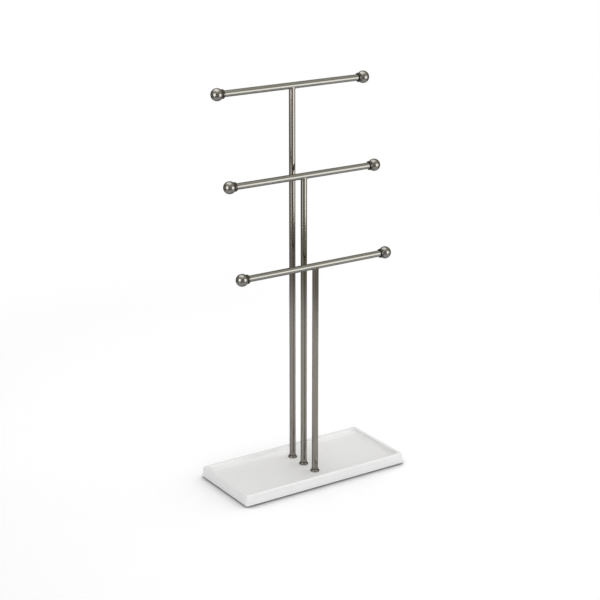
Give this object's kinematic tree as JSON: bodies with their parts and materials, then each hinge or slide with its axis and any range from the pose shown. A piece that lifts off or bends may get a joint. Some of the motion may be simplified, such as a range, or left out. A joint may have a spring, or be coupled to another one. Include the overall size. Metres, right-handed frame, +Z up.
{
  "type": "jewelry stand",
  "caption": "Free-standing jewelry stand: T-shaped metal tube hangers of stepped height, with ball-ended crossbars, screwed down to a shallow white tray.",
  "frame": {"origin": "centre of the footprint, on the surface the stand rests on", "axes": "+Z up along the posts, +X along the crossbars to the stand's right end seen from the front, +Y to the rear where the tallest post stands"},
  "size_m": [0.2318, 0.1064, 0.4875],
  "materials": {
    "white_resin": "glossy white moulded resin",
    "dark_foam": "matt black foam sheet",
    "satin_nickel": "satin dark nickel plate, drawn along the tube",
    "polished_nickel": "polished dark nickel plate",
    "brass": "turned brass",
    "zinc_steel": "bright zinc plate"
  },
  "bodies": {
    "root": {"tray": "white_resin", "foot_pad": "dark_foam", "post_rear": "satin_nickel", "crossbar_top": "satin_nickel", "braze_joint_top": "satin_nickel", "collar_plug_top_left": "polished_nickel", "ball_finial_top_left": "polished_nickel", "collar_plug_top_right": "polished_nickel", "ball_finial_top_right": "polished_nickel", "foot_ferrule_rear": "polished_nickel", "threaded_insert_rear": "brass", "post_middle": "satin_nickel", "crossbar_middle": "satin_nickel", "braze_joint_middle": "satin_nickel", "collar_plug_middle_left": "polished_nickel", "ball_finial_middle_left": "polished_nickel", "collar_plug_middle_right": "polished_nickel", "ball_finial_middle_right": "polished_nickel", "foot_ferrule_middle": "polished_nickel", "threaded_insert_middle": "brass", "post_front": "satin_nickel", "crossbar_lower": "satin_nickel", "braze_joint_lower": "satin_nickel", "collar_plug_lower_left": "polished_nickel", "ball_finial_lower_left": "polished_nickel", "collar_plug_lower_right": "polished_nickel", "ball_finial_lower_right": "polished_nickel", "foot_ferrule_front": "polished_nickel", "threaded_insert_front": "brass", "post_screws": "zinc_steel", "post_washers": "zinc_steel"}
  },
  "joints": []
}
